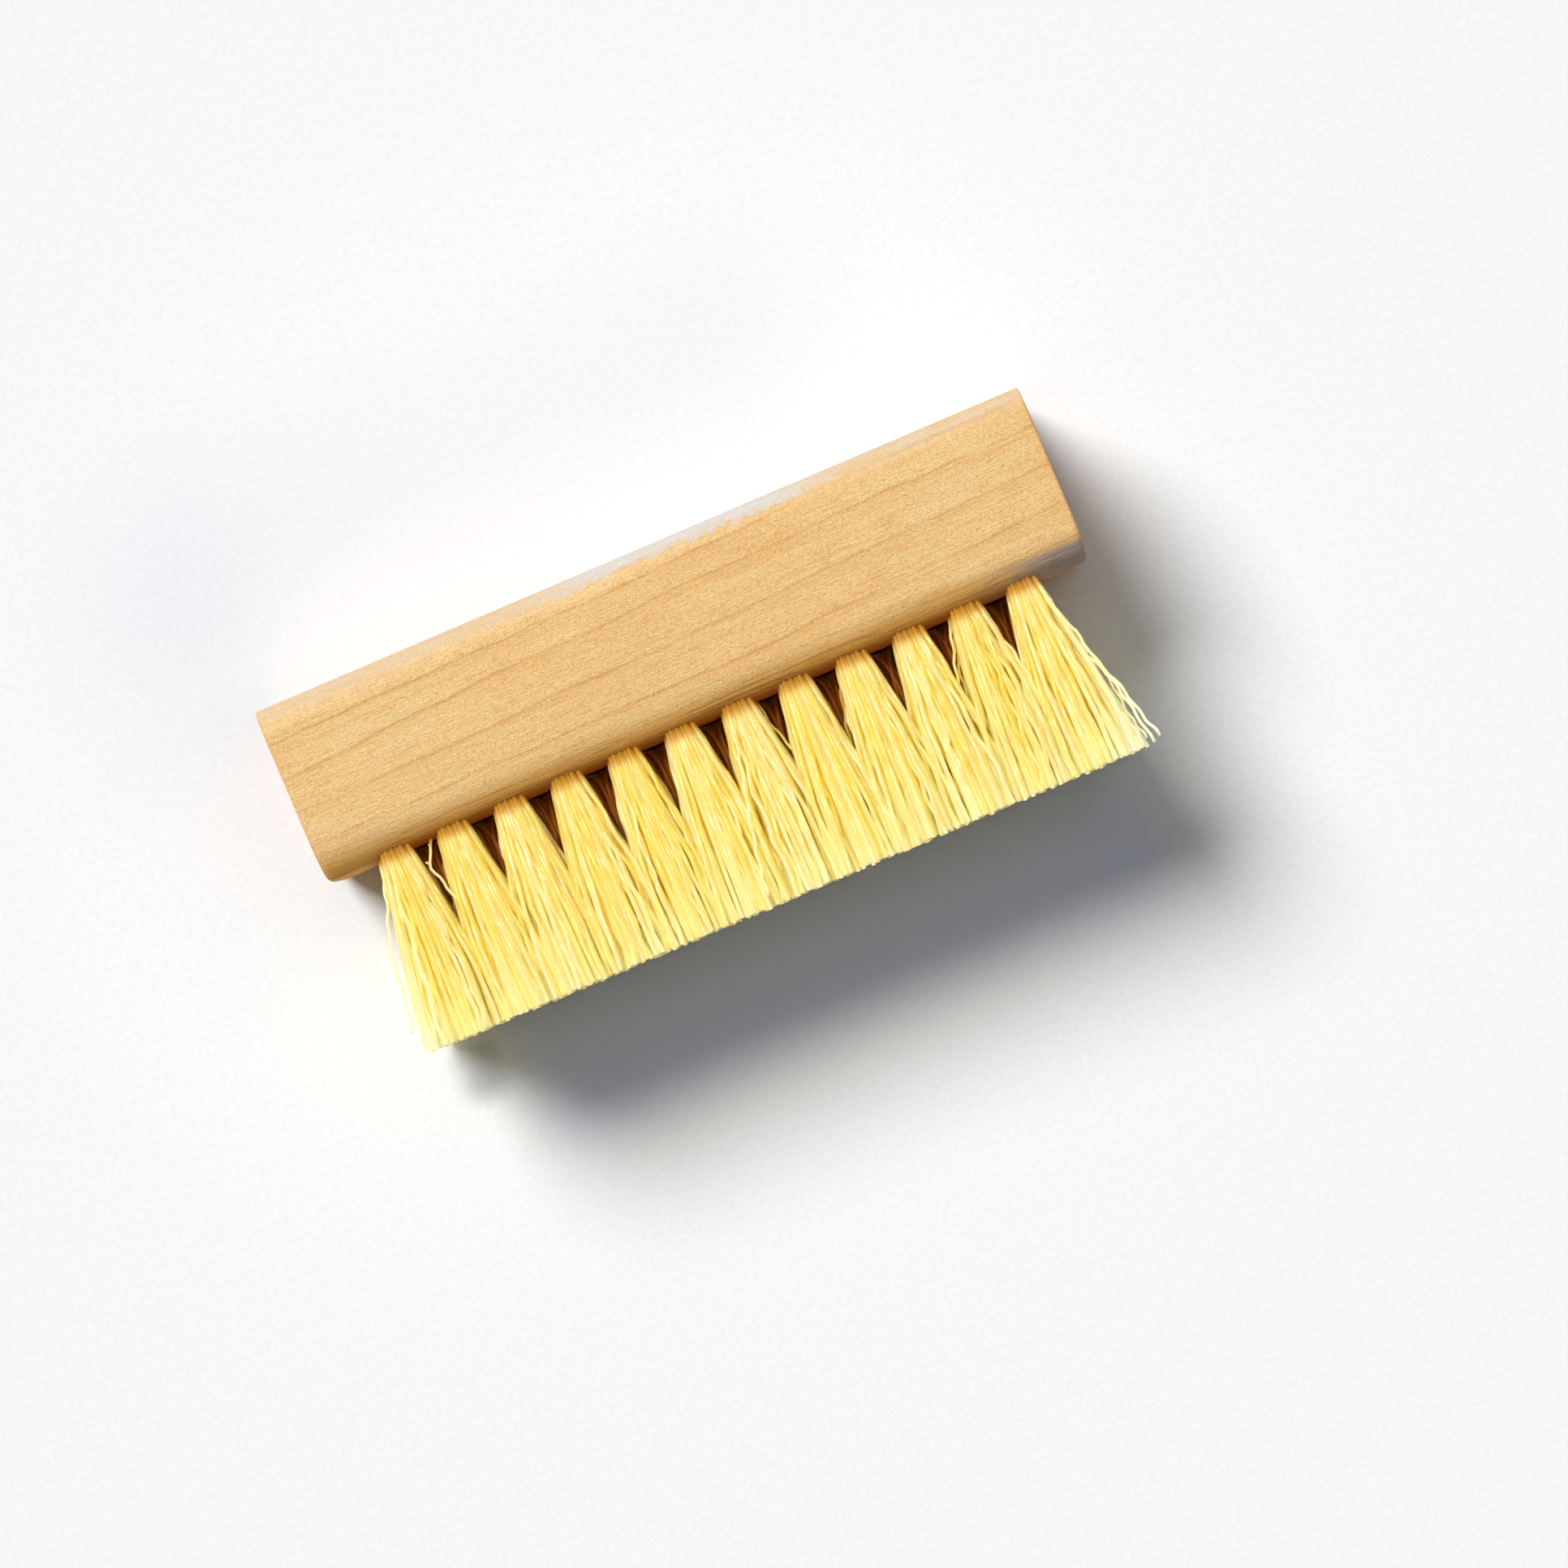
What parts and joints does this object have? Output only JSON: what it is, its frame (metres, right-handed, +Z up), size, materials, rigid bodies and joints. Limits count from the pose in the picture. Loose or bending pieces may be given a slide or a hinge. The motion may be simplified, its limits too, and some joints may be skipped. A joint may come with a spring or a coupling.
{
  "type": "shoe brush",
  "caption": "Wooden block brush for shoes: rounded long edges, and straight rows of flaring, crimped bristle tufts trimmed level.",
  "frame": {"origin": "on the surface that the brush lies on, at the centre of its outline", "axes": "+X along the block, +Y from the bristle tips to the block's back, +Z up, out of the upper side face"},
  "size_m": [0.135, 0.0624, 0.0426],
  "materials": {
    "block": "bare, sanded, pale and fine grained",
    "filament": "translucent pale yellow crimped filament"
  },
  "bodies": {
    "root": {"block": "block", "tuft_row1_01": "filament", "tuft_row1_02": "filament", "tuft_row1_03": "filament", "tuft_row1_04": "filament", "tuft_row1_05": "filament", "tuft_row1_06": "filament", "tuft_row1_07": "filament", "tuft_row1_08": "filament", "tuft_row1_09": "filament", "tuft_row1_10": "filament", "tuft_row1_11": "filament", "tuft_row1_12": "filament", "tuft_row2_01": "filament", "tuft_row2_02": "filament", "tuft_row2_03": "filament", "tuft_row2_04": "filament", "tuft_row2_05": "filament", "tuft_row2_06": "filament", "tuft_row2_07": "filament", "tuft_row2_08": "filament", "tuft_row2_09": "filament", "tuft_row2_10": "filament", "tuft_row2_11": "filament", "tuft_row2_12": "filament", "tuft_row3_01": "filament", "tuft_row3_02": "filament", "tuft_row3_03": "filament", "tuft_row3_04": "filament", "tuft_row3_05": "filament", "tuft_row3_06": "filament", "tuft_row3_07": "filament", "tuft_row3_08": "filament", "tuft_row3_09": "filament", "tuft_row3_10": "filament", "tuft_row3_11": "filament", "tuft_row3_12": "filament", "tuft_row4_01": "filament", "tuft_row4_02": "filament", "tuft_row4_03": "filament", "tuft_row4_04": "filament", "tuft_row4_05": "filament", "tuft_row4_06": "filament", "tuft_row4_07": "filament", "tuft_row4_08": "filament", "tuft_row4_09": "filament", "tuft_row4_10": "filament", "tuft_row4_11": "filament", "tuft_row4_12": "filament"}
  },
  "joints": []
}
